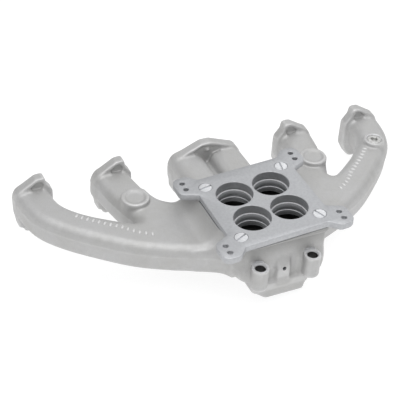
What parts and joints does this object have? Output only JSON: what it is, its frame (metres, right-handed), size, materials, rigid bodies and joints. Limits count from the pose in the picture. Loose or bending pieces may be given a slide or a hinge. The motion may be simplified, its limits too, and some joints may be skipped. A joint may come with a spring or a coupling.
{
  "type": "four-barrel intake manifold",
  "caption": "Cast aluminium intake manifold: a level square-bore carburettor pad on a central plenum, with curved hollow runners out to round-shouldered port flanges.",
  "frame": {"origin": "centre of the carburettor pad's top face, between the four throttle bores", "axes": "+Z is the pad's outward normal, up out of the engine; +X runs along the crankshaft and the row of ports; +Y points at the cylinder head"},
  "size_m": [0.4996, 0.236, 0.1076],
  "materials": {
    "cast_aluminium": "satin, sand-cast",
    "machined_aluminium": "fine milled, satin",
    "zinc_plated_steel": "bright zinc",
    "plain_steel": "plain turned steel",
    "gasket_fibre": "pressed fibre sheet"
  },
  "bodies": {
    "root": {"plenum_housing": "cast_aluminium", "heat_riser_base": "cast_aluminium", "front_boss_left": "cast_aluminium", "front_boss_right": "cast_aluminium", "front_pad": "cast_aluminium", "trunk_left": "cast_aluminium", "trunk_right": "cast_aluminium", "runner_1": "cast_aluminium", "runner_2": "cast_aluminium", "runner_5": "cast_aluminium", "runner_6": "cast_aluminium", "runner_3": "cast_aluminium", "runner_4": "cast_aluminium", "port_flange_1": "cast_aluminium", "port_flange_2": "cast_aluminium", "port_flange_3_4": "cast_aluminium", "port_flange_5": "cast_aluminium", "port_flange_6": "cast_aluminium", "runner_boss_2": "cast_aluminium", "runner_boss_5": "cast_aluminium", "runner_boss_6": "cast_aluminium", "pipe_plug": "plain_steel", "adapter_plate": "machined_aluminium", "plate_gasket": "gasket_fibre", "plate_screw_front_left": "zinc_plated_steel", "plate_screw_front_right": "zinc_plated_steel", "plate_screw_rear_right": "zinc_plated_steel", "plate_screw_rear_left": "zinc_plated_steel"}
  },
  "joints": []
}
